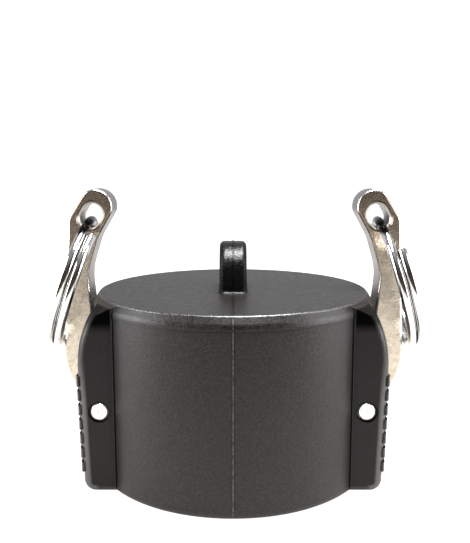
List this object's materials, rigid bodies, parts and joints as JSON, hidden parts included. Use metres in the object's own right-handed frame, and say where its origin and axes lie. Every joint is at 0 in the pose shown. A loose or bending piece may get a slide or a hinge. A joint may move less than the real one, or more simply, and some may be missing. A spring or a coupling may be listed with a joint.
{
  "type": "cam lever coupling dust cap",
  "caption": "Closed-end female cam lever coupling cap: moulded plastic cup with seal, two steel cam levers on cross pins, split pull rings and a lanyard eye.",
  "frame": {"origin": "centre of the cup's open mouth, in the plane of its rim; the cap stands on this plane", "axes": "+Z along the cup's axis from the mouth to the closed end, X across the two cam levers, Y along their pivot pins"},
  "size_m": [0.1099, 0.0802, 0.0807],
  "materials": {
    "black_polypropylene": "fine speckled moulding grain",
    "nitrile_rubber": "smooth black rubber",
    "cast_stainless": "investment cast, blasted and tumbled",
    "pin_steel": "ground steel",
    "ring_wire": "bright plated spring wire"
  },
  "bodies": {
    "cap": {"cap_body": "black_polypropylene", "gasket": "nitrile_rubber", "pivot_pin_left": "pin_steel", "pivot_pin_right": "pin_steel"},
    "arm_left": {"cam_arm_left": "cast_stainless"},
    "arm_right": {"cam_arm_right": "cast_stainless"},
    "ring_left": {"pull_ring_left": "ring_wire"},
    "ring_right": {"pull_ring_right": "ring_wire"}
  },
  "joints": [
    {"name": "left_arm_swing", "type": "hinge", "parent": "cap", "child": "arm_left", "pos_m": [-0.03545, 0, 0.02274], "axis": [0, -1, 0], "range_deg": [0, 100]},
    {"name": "right_arm_swing", "type": "hinge", "parent": "cap", "child": "arm_right", "pos_m": [0.03545, 0, 0.02274], "axis": [0, 1, 0], "range_deg": [0, 100]},
    {"name": "left_ring_swing", "type": "hinge", "parent": "arm_left", "child": "ring_left", "pos_m": [-0.04097, 0, 0.07165], "axis": [0, 1, 0], "range_deg": [0, 200]},
    {"name": "right_ring_swing", "type": "hinge", "parent": "arm_right", "child": "ring_right", "pos_m": [0.04183, 0, 0.07155], "axis": [0, -1, 0], "range_deg": [0, 200]}
  ]
}
